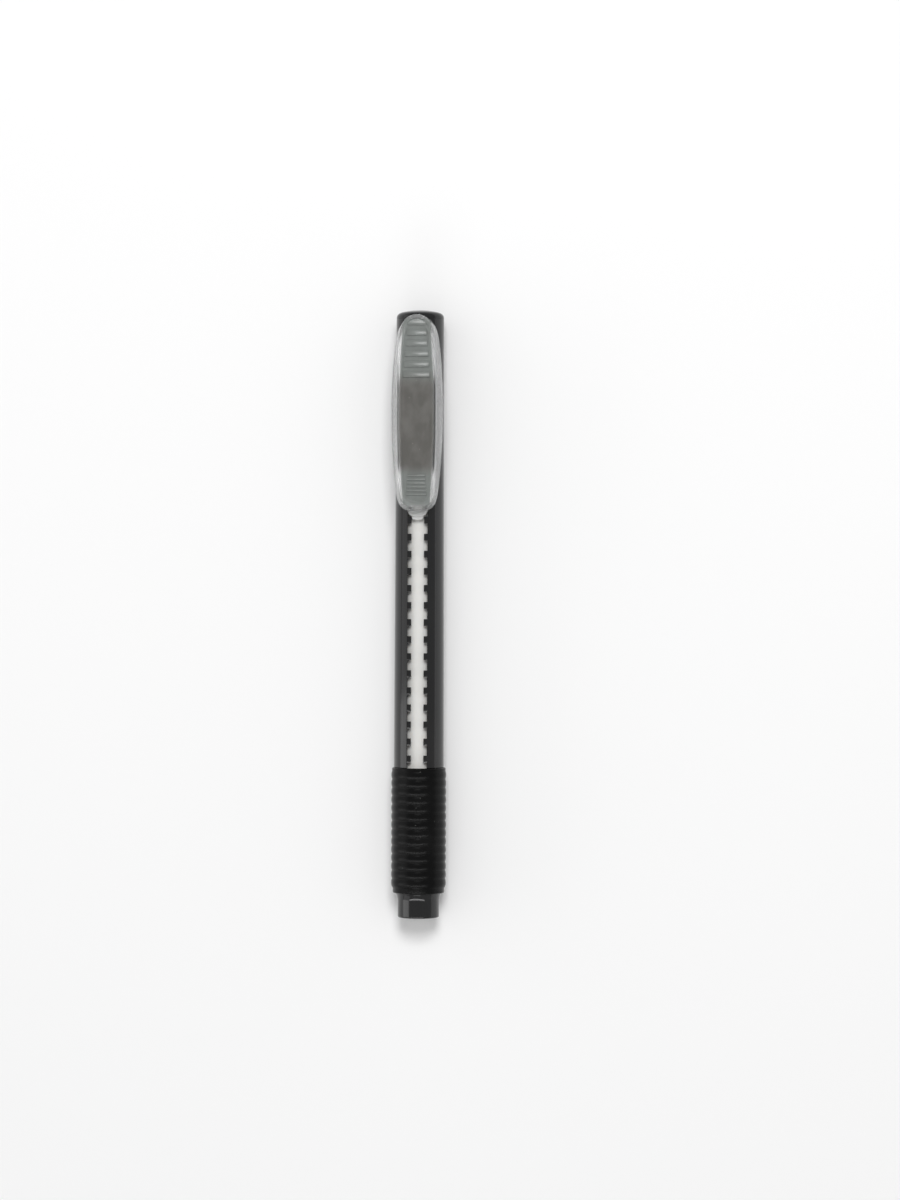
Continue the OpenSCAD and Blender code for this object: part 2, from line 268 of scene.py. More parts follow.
def arc(radius: float, station: float, size: float, start: float, end: float, steps: int) -> Profile:
    """Rounds a corner of a profile.

    Args:
        radius: Radius at the middle of the rounding.
        station: Station of the middle of the rounding.
        size: Radius of the rounding itself.
        start: Angle in degrees at which it starts. 0 points away from the axis, 90 to the tail.
        end: Angle at which it ends.
        steps: Number of straight pieces.

    Returns:
        The profile's points along the rounding.
    """
    angles = [math.radians(start + (end - start) * k / steps) for k in range(steps + 1)]
    return [(radius + size * math.cos(a), station + size * math.sin(a)) for a in angles]


def block(name: str, low: Point, high: Point) -> Solid:
    """Makes a box between two corners, each given as across, station and height."""
    deselect()
    a, b = Vector(LAY.point(*low)), Vector(LAY.point(*high))
    bpy.ops.mesh.primitive_cube_add(size=1, location=(a + b) / 2, scale=b - a)
    piece = bpy.context.object
    piece.name = name
    settle(piece)
    return piece


def cross_bar(
    name: str, radius: float, width: float, station: float, height: float, sides: int = 48
) -> Solid:
    """Makes a round bar that lies across the stick."""
    deselect()
    bpy.ops.mesh.primitive_cylinder_add(
        vertices=sides, radius=radius * MM, depth=width * MM, location=LAY.point(0, station, height),
        rotation=(0, math.pi / 2, 0),
    )
    piece = bpy.context.object
    piece.name = name
    settle(piece)
    return piece


class Value:
    """A number on a shader socket, with which Python can calculate."""

    def __init__(self, shader: "Shader", socket: Socket) -> None:
        """Wraps a socket of a shader's nodes."""
        self.shader = shader
        self.socket = socket

    def _math(self, operation: str, other: "Number", swapped: bool = False) -> "Value":
        """Returns the result of a Math node on this value and another, or on the two swapped."""
        first, second = (other, self) if swapped else (self, other)
        node = self.shader.node("ShaderNodeMath", {"operation": operation}, {0: first, 1: second})
        return Value(self.shader, node.outputs[0])

    __add__ = __radd__ = partialmethod(_math, "ADD")
    __mul__ = __rmul__ = partialmethod(_math, "MULTIPLY")
    __sub__ = partialmethod(_math, "SUBTRACT")
    __rsub__ = partialmethod(_math, "SUBTRACT", swapped=True)
    __gt__ = partialmethod(_math, "GREATER_THAN")
    largest = partialmethod(_math, "MAXIMUM")

    def size(self) -> "Value":
        """Returns the value without its sign."""
        return self._math("ABSOLUTE", 0.0)

    def over(self, low: float, high: float) -> "Value":
        """Returns a smooth climb from 0 at low to 1 at high."""
        settings = {"interpolation_type": "SMOOTHSTEP"}
        sockets = {"Value": self, "From Min": low, "From Max": high}
        node = self.shader.node("ShaderNodeMapRange", settings, sockets)
        return Value(self.shader, node.outputs[0])


Number = Value | float


class Shader:
    """The nodes of one material."""

    def __init__(self, name: str) -> None:
        """Starts an empty material."""
        self.material = bpy.data.materials.new(name)
        self.material.use_nodes = True
        self.tree = self.material.node_tree
        self.tree.nodes.clear()

    def plug(self, node: bpy.types.Node, sockets: dict) -> None:
        """Sets or links a node's sockets, each named by its label, identifier or number."""
        by_identifier = {socket.identifier: socket for socket in node.inputs}
        for key, value in sockets.items():
            socket = by_identifier[key] if key in by_identifier else node.inputs[key]
            if isinstance(value, Value):
                self.tree.links.new(value.socket, socket)
            elif isinstance(value, Socket):
                self.tree.links.new(value, socket)
            else:
                socket.default_value = (*value, 1.0) if socket.type == "RGBA" and len(value) == 3 else value

    def node(self, kind: str, settings: dict | None = None, sockets: dict | None = None) -> bpy.types.Node:
        """Makes a node.

        Args:
            kind: The node's type.
            settings: The node's own settings, which are set first.
            sockets: Values or links for its sockets.

        Returns:
            The new node.
        """
        node = self.tree.nodes.new(kind)
        for key, value in (settings or {}).items():
            setattr(node, key, value)
        self.plug(node, sockets or {})
        return node

    def place(self, stretch: Point = (1, 1, 1)) -> Socket:
        """Returns the place on the piece, in metres times a stretch along each axis."""
        spot = self.node("ShaderNodeTexCoord").outputs["Object"]
        return self.node("ShaderNodeMapping", {}, {"Vector": spot, "Scale": stretch}).outputs[0]

    def coordinates(self) -> tuple[Value, Value, Value]:
        """Returns across, station and height of the place on the stick, in millimetres."""
        parts = self.node("ShaderNodeSeparateXYZ", {}, {"Vector": self.place()}).outputs
        x, y, z = (Value(self, part) * 1000 for part in parts)
        return x, y + LAY.length / 2, z - LAY.axis_height

    def noise(self, size: float, detail: float = 2.0, stretch: Point = (1, 1, 1)) -> Value:
        """Returns cloudy noise from 0 to 1 whose patches are about size millimetres wide."""
        sockets = {"Vector": self.place(stretch), "Scale": 1 / (size * MM), "Detail": detail}
        return Value(self, self.node("ShaderNodeTexNoise", {}, sockets).outputs[0])

    def specks(self, spacing: float, radius: float, share: float) -> Value:
        """Returns 1 on scattered dots and 0 elsewhere.

        Args:
            spacing: Mean distance between the cells that may hold a dot, in millimetres.
            radius: Radius of a dot as a share of the spacing.
            share: How many of the cells hold one, from 0 to 1.

        Returns:
            The mask.
        """
        sockets = {"Vector": self.place(), "Scale": 1 / (spacing * MM)}
        cells = self.node("ShaderNodeTexVoronoi", {"feature": "F1"}, sockets)
        lot = self.node("ShaderNodeSeparateColor", {}, {"Color": cells.outputs["Color"]})
        near = 1 - Value(self, cells.outputs["Distance"]).over(radius * 0.6, radius)
        return near * (Value(self, lot.outputs[0]) > 1 - share)

    def blend(self, mask: Number, first: Colour | Value, second: Colour | Value) -> Value:
        """Returns the first colour where the mask is 0 and the second where it is 1."""
        sockets = {"Factor_Float": mask, "A_Color": first, "B_Color": second}
        node = self.node("ShaderNodeMix", {"data_type": "RGBA"}, sockets)
        return Value(self, next(out for out in node.outputs if out.identifier == "Result_Color"))

    def bump(self, height: Value, depth: float) -> Value:
        """Returns a normal that shows a height of 0 to 1 as a relief of depth millimetres."""
        sockets = {"Height": height, "Strength": 1.0, "Distance": depth * MM}
        return Value(self, self.node("ShaderNodeBump", {}, sockets).outputs[0])

    def surface(self, **sockets: object) -> Socket:
        """Returns a Principled surface whose sockets are named with _ for each space."""
        named = {key.replace("_", " "): value for key, value in sockets.items()}
        return self.node("ShaderNodeBsdfPrincipled", {}, named).outputs[0]

    def mix(self, mask: Value, first: Socket, second: Socket) -> Socket:
        """Returns the first surface where the mask is 0 and the second where it is 1."""
        return self.node("ShaderNodeMixShader", {}, {0: mask, 1: first, 2: second}).outputs[0]

    def finish(self, surface: Socket) -> bpy.types.Material:
        """Gives the material its surface and returns it."""
        self.node("ShaderNodeOutputMaterial", {}, {"Surface": surface})
        return self.material


@dataclass(frozen=True)
class GlossBlack:
    """Polished black moulding, as it leaves the tool, with faint marks of handling."""

    colour: Colour = (0.0045, 0.0045, 0.005)
    haze: Colour = (0.009, 0.009, 0.0095)
    roughness: float = 0.1

    def make(self) -> bpy.types.Material:
        """Returns the material."""
        shader = Shader("gloss_black")
        cloud = shader.noise(9, 3, (1, 0.4, 1))
        rub = shader.noise(0.5, 4, (1, 0.08, 1)).over(0.52, 0.78)
        surface = shader.surface(
            Base_Color=shader.blend(cloud.over(0.45, 0.75), self.colour, self.haze),
            Roughness=self.roughness + 0.05 * cloud + 0.07 * rub,
            Normal=shader.bump(shader.noise(2.6, 2, (1, 0.5, 1)), 0.004),
            IOR=1.5,
        )
        return shader.finish(surface)


@dataclass(frozen=True)
class GripRubber:
    """Matte black rubber with a fine grain and the dust that it collects."""

    colour: Colour = (0.002, 0.002, 0.0021)
    worn: Colour = (0.005, 0.005, 0.005)
    dust: Colour = (0.2, 0.2, 0.19)
    roughness: float = 0.2

    def make(self) -> bpy.types.Material:
        """Returns the material."""
        shader = Shader("grip_rubber")
        cloud = shader.noise(5, 4)
        grain = shader.noise(0.12, 3)
        dots = shader.specks(0.9, 0.075, 0.16)
        body = shader.blend(cloud.over(0.4, 0.8), self.colour, self.worn)
        surface = shader.surface(
            Base_Color=shader.blend(dots, body, self.dust),
            Roughness=self.roughness + 0.1 * grain,
            Normal=shader.bump(grain, 0.012),
            Specular_IOR_Level=0.13,
        )
        return shader.finish(surface)


@dataclass(frozen=True)
class SmokeClear:
    """Clear smoke-grey moulding with a hazy panel, which is lighter under its thumb steps and toe ribs. Its
    flanks and the outer edge of its rim carry painted light, and the rim at the thumb and toe ends carries
    painted highlights.
    """

    panel: Colour = (0.14, 0.135, 0.125)
    panel_cloud: Colour = (0.185, 0.18, 0.168)
    pressed: Colour = (0.275, 0.3, 0.287)
    fleck: Colour = (0.62, 0.6, 0.55)
    rim: Colour = (0.17, 0.17, 0.165)
    # Painted highlight: the rim and recess wall at the thumb and toe ends are painted light grey, standing
    # in for the highlights that lamps draw on the recess wall there.
    rim_end_painted_highlight: Colour = (0.78, 0.785, 0.78)
    # Painted light: the flanks and the rim's outer edge line are painted near white, standing in for light
    # that the clear plastic refracts and reflects there.
    flank: Colour = (0.95, 0.955, 0.96)
    panel_clearness: float = 0.25
    rim_clearness: float = 0.77
    roughness: float = 0.03
    haze: float = 0.1
    ior: float = 1.5
    panel_half: float = 3.32
    face_half: float = 3.92
    bow: float = 500.0
    panel_reach: float = 18.8
    middle: float = 103.75
    thumb: float = 110.7
    toe: float = 91.2

    def make(self) -> bpy.types.Material:
        """Returns the material."""
        shader = Shader("smoke_clear")
        x, s, _ = shader.coordinates()
        along = s - self.middle
        out = x.size() + along * along * (1 / self.bow)
        # Mask of the thumb and toe ends: there the panel is lighter, and the rim carries the painted
        # highlights.
        ends = s.over(self.thumb - 2, self.thumb + 2).largest(1 - s.over(self.toe - 1, self.toe + 2))
        rim = out.over(self.panel_half, self.panel_half + 0.3).largest(
            along.size().over(self.panel_reach, self.panel_reach + 0.4)
        )
        # Mask of the flanks and the rim's outer edge, which carry the painted light.
        flank = out.over(self.face_half, self.face_half + 0.12)
        wisps = shader.noise(2.2, 4, (1, 0.55, 1))
        flecks = shader.specks(0.7, 0.16, 0.1)
        rub = shader.noise(0.35, 3, (1, 0.12, 1)).over(0.5, 0.8)
        body = shader.blend(wisps.over(0.35, 0.72), self.panel, self.panel_cloud)
        body = shader.blend(ends * (0.5 + 0.5 * wisps), body, self.pressed)
        body = shader.blend(flecks * 0.35, body, self.fleck)
        wear = self.roughness + 0.05 * wisps + 0.04 * rub
        relief = shader.bump(shader.noise(1.6, 2), 0.002)
        hazy = shader.surface(
            Base_Color=body, Roughness=wear + self.haze, Normal=relief, IOR=self.ior,
            Transmission_Weight=self.panel_clearness,
        )
        # The clear surface carries the painted light of the flanks and the painted highlights of the rim
        # ends.
        clear = shader.surface(
            Base_Color=shader.blend(flank, shader.blend(ends, self.rim, self.rim_end_painted_highlight), self.flank),
            Roughness=wear, Normal=relief, IOR=self.ior, Transmission_Weight=self.rim_clearness,
        )
        return shader.finish(shader.mix(rim, hazy, clear))


@dataclass(frozen=True)
class MilkyClear:
    """Clear natural moulding that looks milky where it is thick."""

    colour: Colour = (0.88, 0.89, 0.88)
    cloud: Colour = (0.94, 0.945, 0.94)
    clearness: float = 0.5
    roughness: float = 0.12

    def make(self) -> bpy.types.Material:
        """Returns the material."""
        shader = Shader("milky_clear")
        wisps = shader.noise(1.6, 3)
        surface = shader.surface(
            Base_Color=shader.blend(wisps.over(0.35, 0.7), self.colour, self.cloud),
            Roughness=self.roughness + 0.1 * wisps,
            Transmission_Weight=self.clearness,
            IOR=1.5,
        )
        return shader.finish(surface)


@dataclass(frozen=True)
class WhiteVinyl:
    """Matte white eraser vinyl with faint extrusion lines and a few crumbs of grey."""

    colour: Colour = (0.8, 0.795, 0.77)
    shade: Colour = (0.73, 0.725, 0.7)
    speck: Colour = (0.42, 0.42, 0.41)
    roughness: float = 0.48

    def make(self) -> bpy.types.Material:
        """Returns the material."""
        shader = Shader("white_vinyl")
        lines = shader.noise(0.35, 3, (1, 0.03, 1))
        cloud = shader.noise(6, 3)
        dots = shader.specks(1.6, 0.05, 0.12)
        body = shader.blend(cloud.over(0.4, 0.75) * 0.7 + lines * 0.3, self.colour, self.shade)
        surface = shader.surface(
            Base_Color=shader.blend(dots, body, self.speck),
            Roughness=self.roughness + 0.14 * lines,
            Normal=shader.bump(lines, 0.01),
            Subsurface_Weight=0.15,
            Subsurface_Radius=(1.0, 0.9, 0.8),
            Subsurface_Scale=0.0008,
        )
        return shader.finish(surface)


@dataclass
class Piece:
    """A finished piece of the stick, and where it belongs."""

    name: str
    body: Body
    slot: Slot
    nodes: tuple[str, ...]

    def fit(self, piece: Solid, material: bpy.types.Material) -> None:
        """Dresses a modelled piece and sets it in the construction's frame.

        Args:
            piece: The modelled object.
            material: Its finish.
        """
        piece.name = piece.data.name = self.name
        piece.data.materials.append(material)
        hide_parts(*self.nodes)
        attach(piece, self.body.value)
        LOG.info("%s: %d faces, on %s", self.name, len(piece.data.polygons), self.body.value)


@dataclass
class Barrel:
    """The gloss black tube with the toothed slot along its top, and the plug in its tail."""

    front_radius: float = 5.15
    tail_radius: float = 4.9
    seat_radius: float = 4.7
    bore_radius: float = 4.0
    front: float = 6.0
    grip_end: float = 30.9
    plug_seat: float = 123.2
    slot_width: float = 2.6
    notch_width: float = 4.1
    notch_length: float = 2.1
    click: float = 3.5
    notches: int = 16
    first_notch: float = 31.05
    slot_start: float = 28.8
    teeth_end: float = 85.5
    tooth_top: float = 4.32
    cut_top: float = 8.0
    trough_top: float = 9.0
    edge: float = 0.06
    sides: int = 144
    plug_edge: float = 1.1
    plug_flat: float = 2.0
    plug_dome: float = 0.4
    plug_crown: float = 16.0
    crown_step: float = 0.3
    plug_spigot: float = 2.9
    plug_wall: float = 1.0
    plug_lead_in: float = 0.15
    plug_play: float = 0.01
    seam: float = 0.06
    key_low: float = 3.5
    key_sunk: float = 0.25

    def tube(self) -> Solid:
        """Returns the tube without its slot."""
        shoulder = 0.1
        outside = [
            (self.seat_radius, self.front),
            (self.seat_radius, self.grip_end),
            (self.front_radius - shoulder, self.grip_end),
            (self.front_radius, self.grip_end + shoulder),
            (self.tail_radius + 0.01, self.plug_seat - shoulder),
            (self.tail_radius - 0.03, self.plug_seat),
        ]
        inside = [(self.bore_radius, self.plug_seat), (self.bore_radius, self.front)]
        return turn_profile("tube", outside + inside, self.sides, hollow=True)

    def slot_cutter(self) -> Solid:
        """Returns the tool for the slot: one notch and one gap, repeated, then drawn out to both ends."""
        half_slot, gap = self.slot_width / 2, self.click - self.notch_length
        deselect()
        bpy.ops.mesh.primitive_plane_add(size=1, location=LAY.point(0, self.first_notch, 0))
        cutter = bpy.context.object
        cutter.scale = (self.slot_width * MM, self.notch_length * MM, 1)
        settle(cutter)
        for side in (-1, 1):
            reach = half_slot * MM - CLOSE
            select(cutter, "EDGE", lambda edge: all(side * v.co.x > reach for v in edge.verts))
            draw_out(side * (self.notch_width / 2 - half_slot), 0)
        deselect()
        self._draw_end(cutter, 1, gap)
        apply_modifier(
            cutter, "ARRAY", count=self.notches, use_relative_offset=False, use_constant_offset=True,
            constant_offset_displace=(0, self.click * MM, 0), use_merge_vertices=True,
            merge_threshold=CLOSE,
        )
        self._draw_end(cutter, -1, self.first_notch - self.notch_length / 2 - self.slot_start)
        last_gap_end = self.first_notch + (self.notches - 1) * self.click + self.notch_length / 2 + gap
        self._draw_end(cutter, 1, self.plug_seat + 1 - last_gap_end)
        edit(cutter, "SELECT")
        bpy.ops.mesh.extrude_region_move(TRANSFORM_OT_translate={"value": (0, 0, self.cut_top * MM)})
        deselect()
        face_outwards(cutter)
        return cutter

    def _draw_end(self, cutter: Solid, end: int, length: float) -> None:
        """Draws the middle of the cutter's front (-1) or rear (1) edge out by a length."""
        tip = max(end * v.co.y for v in cutter.data.vertices)
        half = self.slot_width / 2 * MM + CLOSE
        select(cutter, "EDGE", lambda edge: all(
            end * v.co.y > tip - CLOSE and abs(v.co.x) < half for v in edge.verts
        ))
        draw_out(0, end * length)
        deselect()

    def model(self) -> Solid:
        """Returns the finished barrel."""
        piece = self.tube()
        half = self.notch_width / 2
        low, high = (-half, self.slot_start, self.tooth_top), (half, self.teeth_end, self.trough_top)
        combine(piece, [self.slot_cutter(), block("trough", low, high)], Cut.REMOVE)
        face_outwards(piece)
        ease_edges(piece, self.edge)
        return smooth(piece)

    def crown_drop(self, radius: float) -> float:
        """Returns how far the plug's crown drops from its flat middle out to a radius."""
        at_flat = math.sqrt(self.plug_crown**2 - self.plug_flat**2)
        return at_flat - math.sqrt(self.plug_crown**2 - radius**2)

    def model_plug(self) -> Solid:
        """Returns the tail plug: a domed cap, a hollow spigot and the key that closes the slot."""
        rear = LAY.length - self.plug_dome - self.plug_edge
        flank = arc(self.tail_radius - self.plug_edge, rear, self.plug_edge, 0, 75, 10)
        crown_radii = [self.plug_flat + self.crown_step * k for k in range(6, -1, -1)]
        crown = [(r, LAY.length - self.crown_drop(r)) for r in crown_radii]
        front = self.plug_seat - self.plug_spigot
        bore = self.bore_radius - self.plug_wall
        spigot = self.bore_radius - self.plug_play
        profile = [
            (bore, self.plug_seat), (bore, front), (self.bore_radius - self.plug_lead_in, front),
            (spigot, front + self.plug_lead_in), (spigot, self.plug_seat),
            (self.tail_radius - self.seam, self.plug_seat), (self.tail_radius, self.plug_seat + self.seam),
            *flank, *crown, (self.plug_flat * 0.5, LAY.length),
        ]
        piece = turn_profile("plug", profile, self.sides, hollow=False)
        half = self.slot_width / 2 - self.plug_play
        key_high = self.tail_radius - self.key_sunk
        key = block("key", (-half, front, self.key_low), (half, self.plug_seat + 0.2, key_high))
        combine(piece, [key], Cut.ADD)
        face_outwards(piece)
        return smooth(piece)


@dataclass
class Nose:
    """The gloss black collar in front of the grip."""

    radius: float = 4.27
    rim: float = 0.35
    flare_start: float = 3.4
    flare_end: float = 5.1
    flange_radius: float = 4.68
    flange_end: float = 6.0
    bore_radius: float = 3.5
    spigot_radius: float = 3.99
    spigot_end: float = 12.0
    lead_in: float = 0.3
    lead_length: float = 0.4
    flare_steps: int = 8
    sides: int = 144

    def model(self) -> Solid:
        """Returns the finished collar."""
        spread, length = self.flange_radius - self.radius, self.flare_end - self.flare_start
        shares = [k / self.flare_steps for k in range(self.flare_steps + 1)]
        flare = [(self.radius + spread * t**2, self.flare_start + length * t) for t in shares]
        mouth = self.bore_radius + self.lead_in
        profile = [
            (mouth, 0.04), (mouth + 0.05, 0.0),
            *arc(self.radius - self.rim, self.rim, self.rim, -90, 0, self.flare_steps),
            *flare,
            (self.flange_radius, self.flange_end), (self.spigot_radius, self.flange_end),
            (self.spigot_radius, self.spigot_end - 0.3), (self.spigot_radius - 0.2, self.spigot_end),
            (mouth, self.spigot_end), (self.bore_radius, self.spigot_end - self.lead_length),
            (self.bore_radius, self.lead_length),
        ]
        piece = turn_profile("collar", profile, self.sides, hollow=True)
        return smooth(piece)


@dataclass
class Grip:
    """The rubber sleeve with its rounded rings, a plain band in front and a lip at the rear."""

    crest_radius: float = 5.65
    depth: float = 0.17
    rings: int = 14
    pitch: float = 1.706
    first_crest: float = 7.2
    band_radius: float = 5.32
    band_end: float = 6.2
    front: float = 5.1
    rear: float = 30.9
    lip_radius: float = 5.53
    lip_round: float = 0.3
    seat_radius: float = 4.7
    flange_radius: float = 4.69
    flange: float = 0.9
    crest_power: float = 0.8
    crease: float = math.radians(60)
    steps: int = 16
    sides: int = 160

    def ring_line(self) -> list[tuple[float, float]]:
        """Returns the profile along the rings: broad crests and narrow valleys."""
        start = self.first_crest - self.pitch / 2
        points = []
        for k in range(self.rings * self.steps + 1):
            crest = abs(math.sin(math.pi * k / self.steps)) ** self.crest_power
            radius = self.crest_radius - self.depth * (1 - crest)
            points.append((radius, start + self.pitch * k / self.steps))
        return points

    def model(self) -> Solid:
        """Returns the finished sleeve."""
        profile = [
            (self.flange_radius, self.front), (self.band_radius - 0.2, self.front),
            (self.band_radius - 0.06, self.front + 0.06), (self.band_radius, self.front + 0.2),
            (self.band_radius, self.band_end - 0.1),
            *self.ring_line(),
            *arc(self.lip_radius - self.lip_round, self.rear - self.lip_round, self.lip_round, 0, 90, 6),
            (self.seat_radius, self.rear), (self.seat_radius, self.front + self.flange),
            (self.flange_radius, self.front + self.flange),
        ]
        piece = turn_profile("sleeve", profile, self.sides, hollow=True)
        return smooth(piece, self.crease)


@dataclass
class Eraser:
    """The white vinyl stick, cut square at both ends."""

    radius: float = 3.35
    start: float = 1.0
    end: float = 98.0
    edge: float = 0.22
    steps: int = 60
    sides: int = 128

    def model(self) -> Solid:
        """Returns the finished stick."""
        inner = self.radius - self.edge
        front, rear = self.start + self.edge, self.end - self.edge
        middle = [(self.radius, front + (rear - front) * k / self.steps) for k in range(1, self.steps)]
        profile = [
            (inner * 0.5, self.start),
            *arc(inner, front, self.edge, -90, 0, 5),
            *middle,
            *arc(inner, rear, self.edge, 0, 90, 5),
            (inner * 0.5, self.end),
        ]
        piece = turn_profile("stick", profile, self.sides, hollow=False)
        return smooth(piece)


@dataclass
class Tongue:
    """The milky tongue whose two lugs click from notch to notch."""

    width: float = 2.3
    low: float = 3.95
    high: float = 4.72
    nose: float = 81.9
    taper: float = 0.4
    end: float = 96.0
    root_length: float = 5.0
    root_sink: float = 0.15
    root_step: float = 0.1
    rest_notch: float = 83.55
    lug_half: float = 1.97
    lug_reach: float = 0.95
    lug_taper: float = 0.85
    lug_radius: float = 1.0
    lug_low: float = 3.85
    lug_top: float = 5.2
    edge: float = 0.07

    def lugs(self) -> Solid:
        """Returns the rounded lugs: a cross bar, trimmed to a plan with tapered front corners."""
        middle = self.lug_low + self.lug_radius
        bar = cross_bar("bar", self.lug_radius, 2 * self.lug_half, self.rest_notch, middle, 64)
        front, rear = self.rest_notch - self.lug_reach, self.rest_notch + self.lug_reach
        trim = block("trim", (-self.lug_half, front, self.lug_low), (self.lug_half, rear, self.lug_top))
        bevel_front(trim, front, offset=self.lug_taper * MM, segments=2, profile=0.4)
        combine(bar, [trim], Cut.KEEP_COMMON)
        return bar

    def model(self) -> Solid:
        """Returns the finished tongue."""
        half = self.width / 2
        strip = block("strip", (-half, self.nose, self.low), (half, self.end, self.high))
        bevel_front(strip, self.nose, offset=self.taper * MM, segments=4)
        root = block(
            "root", (-half, self.end - self.root_length, self.low - self.root_sink),
            (half, self.end, self.high - self.root_step),
        )
        combine(strip, [root, self.lugs()], Cut.ADD)
        face_outwards(strip)
        ease_edges(strip, self.edge)
        return smooth(strip)


@dataclass
class PocketClip:
    """The smoke-clear oval clip: flared flanks, raised rim, recessed panel, thumb steps and toe ribs."""

    front: float = 83.8
    length: float = 39.9
    face_width: float = 8.4
    foot_width: float = 10.6
    top: float = 8.9
    bow: float = 0.5
    toe_edge: float = 6.4
    tail_edge: float = 5.85
    wall: float = 0.95
    face_bow: float = 500.0
    foot_bow: float = 270.0
    tail_power: float = 11.0
    toe_power: float = 22.0
    toe_setback: float = 0.6
    toe_flare: float = 0.4
    outline_steps: int = 44
    flare_power: float = 1.6
    flare_fade: float = 0.8
    flank_steps: int = 10
    flank_top: float = 0.92
    foot_round: float = 0.12
    foot_lift: float = 0.04
    rim_width: float = 0.62
    rim_crest: Profile = ((0.04, 0.065), (-0.03, 0.02), (-0.12, 0.0))
    recess: float = 0.5
    slope: float = 0.45
    slope_line: Profile = ((1.0, 0.97), (0.75, 0.86), (0.35, 0.45))
    panel: float = 0.7
    edge_round: float = 0.14
    stem_sink: float = 0.15
    soft_edge: float = 0.12
    thumb_steps: int = 6
    thumb_start: float = 110.75
    thumb_pitch: float = 2.15
    thumb_widths: tuple[float, float] = (5.5, 3.8)
    thumb_rise: float = 0.3
    thumb_length: float = 1.34
    thumb_crest: float = 0.4
    thumb_fall: float = 0.85
    toe_ribs: int = 6
    toe_start: float = 86.95
    toe_pitch: float = 0.77
    toe_width: float = 4.2
    toe_narrowing: float = 0.1
    toe_radius: float = 0.27
    toe_sink: float = 0.03
    rib_edge: float = 0.08
    pivot_station: float = 116.0
    pivot_height: float = 6.3
    pivot_radius: float = 0.74
    pivot_half: float = 2.5
    cheek_in: float = 1.27
    cheek_out: float = 2.95
    cheek_radius: float = 1.1
    bead_station: float = 87.7
    bead_low: float = 5.45
    bead_radius: float = 0.9
    bead_width: float = 4.4
    crease: float = math.radians(38)

    @property
    def middle(self) -> float:
        """Station of the clip's middle."""
        return self.front + self.length / 2

    def face_height(self, station: float) -> float:
        """Returns the height of the clip's face at a station."""
        return self.top - self.bow * ((station - self.middle) / (self.length / 2)) ** 2

    def edge_height(self, station: float) -> float:
        """Returns the height of the clip's lower edge at a station."""
        return self.toe_edge + (self.tail_edge - self.toe_edge) * (station - self.front) / self.length

    def outline(self, flare: float, inset: float) -> list[tuple[float, float]]:
        """Draws the clip's oval outline.

        Args:
            flare: 0 for the outline of the face, 1 for that of the flared foot.
            inset: How far the outline is drawn in.

        Returns:
            Points (across, station) round the oval, from its front tip up the right side and
            back down the left side.
        """
        half = (self.face_width + flare * (self.foot_width - self.face_width)) / 2 - inset
        tail_reach = self.length / 2 - inset
        toe_reach = tail_reach - self.toe_setback + flare * (self.toe_setback + self.toe_flare)
        bow = self.face_bow + flare * (self.foot_bow - self.face_bow)
        right = []
        for k in range(-self.outline_steps, self.outline_steps + 1):
            t = k / self.outline_steps
            reach, power = (tail_reach, self.tail_power) if t > 0 else (toe_reach, self.toe_power)
            d = math.copysign(reach * (1 - (1 - abs(t)) ** 2), t)
            closing = math.sqrt(max(0.0, 1 - (abs(d) / reach) ** power))
            right.append(((half - d * d / bow) * closing, self.middle + d))
        return right + [(-x, s) for x, s in reversed(right[1:-1])]

    def ring(self, up: float, flare: float, inset: float, sink: float) -> list[Vector]:
        """Returns a ring of points round the clip, in metres.

        Args:
            up: 0 at the lower edge and 1 at the face.
            flare: As for the outline.
            inset: As for the outline.
            sink: How far the ring lies below that height.
        """
        points = []
        for x, s in self.outline(flare, inset):
            low = self.edge_height(s)
            points.append(Vector(LAY.point(x, s, low + (self.face_height(s) - low) * up - sink)))
        return points

    def rim_rings(self) -> list[list[Vector]]:
        """Returns the rings from the panel up its slope, over the rim and round the rim's outer edge."""
        start = self.rim_width + self.slope + self.foot_round
        slope = [(self.rim_width + self.slope * out, self.recess * deep) for out, deep in self.slope_line]
        crest = [(self.rim_width + out, deep) for out, deep in self.rim_crest]
        turns = [math.radians(15 * k) for k in range(7)]
        edge = [(self.edge_round * (1 - math.sin(a)), self.edge_round * (1 - math.cos(a))) for a in turns]
        line = [(start, self.recess), *slope, *crest, *edge]
        return [self.ring(1, 0, inset, sink) for inset, sink in line]

    def flank_rings(self) -> list[list[Vector]]:
        """Returns the rings down the flared flank, the last one a little above the foot."""
        rings = []
        for k in range(self.flank_steps, -1, -1):
            t = k / self.flank_steps
            up = self.flank_top * t if k else self.foot_lift
            rings.append(self.ring(up, (1 - self.flare_fade * t) ** self.flare_power, 0, 0))
        return rings

    def inner_rings(self) -> list[list[Vector]]:
        """Returns the rings round the foot and up the inside to the underside of the panel."""
        wall, ceiling = self.wall, self.recess + self.panel
        return [
            self.ring(0, 1, 0.03, -0.03),
            self.ring(0, 1, self.foot_round, 0),
            self.ring(0, 1, wall - self.foot_round, 0),
            self.ring(0, 0.99, wall, -0.08),
            self.ring(0.25, 0.75 ** self.flare_power, wall, 0),
            self.ring(0.7, 0.2, wall + 0.18, 0.3),
            self.ring(1, 0, wall + 0.4, ceiling + 0.15),
            self.ring(1, 0, wall + 0.6, ceiling),
        ]

